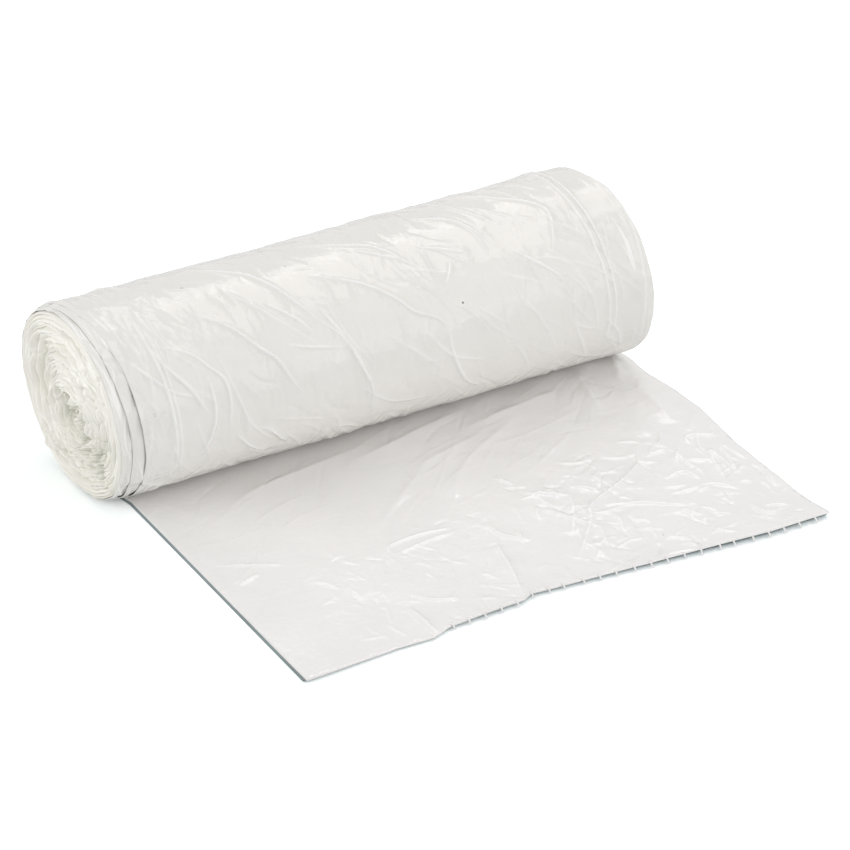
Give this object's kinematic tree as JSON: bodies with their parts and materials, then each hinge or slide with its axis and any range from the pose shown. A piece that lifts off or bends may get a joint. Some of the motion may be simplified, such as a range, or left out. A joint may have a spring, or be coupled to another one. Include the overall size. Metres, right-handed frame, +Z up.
{
  "type": "bin bag roll",
  "caption": "Coreless roll of folded white film bin bags with telescoped ends; the first bag, torn at its perforation, lies pulled out flat in front.",
  "frame": {"origin": "on the floor under the roll's axis, midway along the roll's front: the centre of the roll's flat foot", "axes": "+X along the roll, with the end that steps outward at +X; the leading bag runs out towards -Y; +Z up"},
  "size_m": [0.275, 0.218, 0.087],
  "materials": {
    "bag_film": "thin translucent white polyethylene film, crinkled and softly glossy"
  },
  "bodies": {
    "root": {"bag_roll": "bag_film"}
  },
  "joints": []
}
